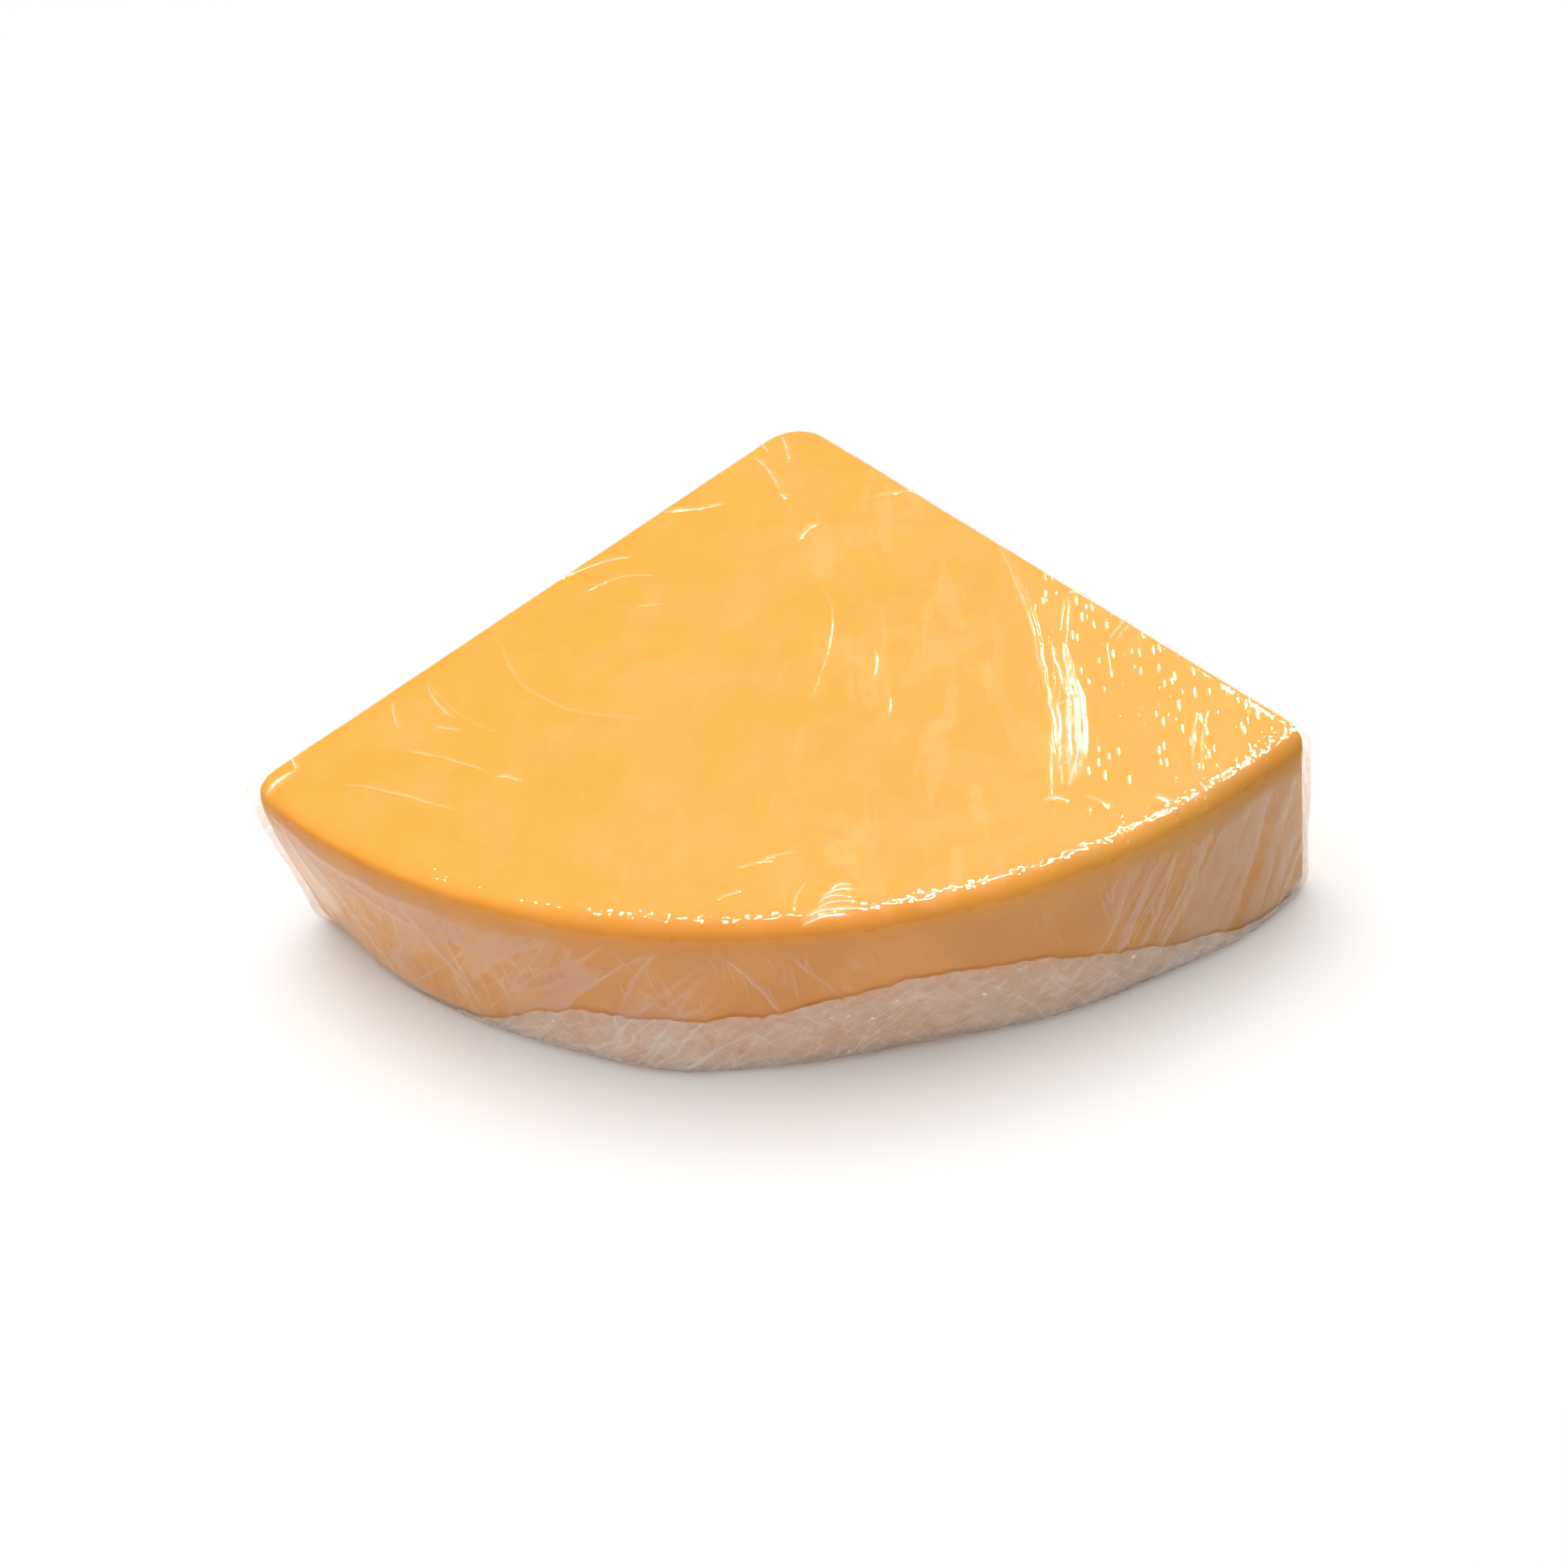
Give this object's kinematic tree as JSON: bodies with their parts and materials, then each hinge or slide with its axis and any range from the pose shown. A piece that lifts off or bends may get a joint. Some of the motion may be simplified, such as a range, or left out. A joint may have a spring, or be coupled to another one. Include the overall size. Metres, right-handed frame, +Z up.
{
  "type": "cheese wedge",
  "caption": "Quarter of a round, flat cheese wrapped tightly in clear cling film, with a curved rind side and a softly rounded tip.",
  "frame": {"origin": "middle of the wrapped cheese's footprint, on the surface it lies on", "axes": "+Z up; the curved rind side faces -Y and the tip of the wedge points to +Y; +X along the longest extent, from one corner of the rind side to the other"},
  "size_m": [0.2262, 0.1572, 0.0481],
  "materials": {
    "cheese": null,
    "film": "clear, glossy, finely creased cling film"
  },
  "bodies": {
    "root": {"cheese": "cheese", "film": "film"}
  },
  "joints": []
}
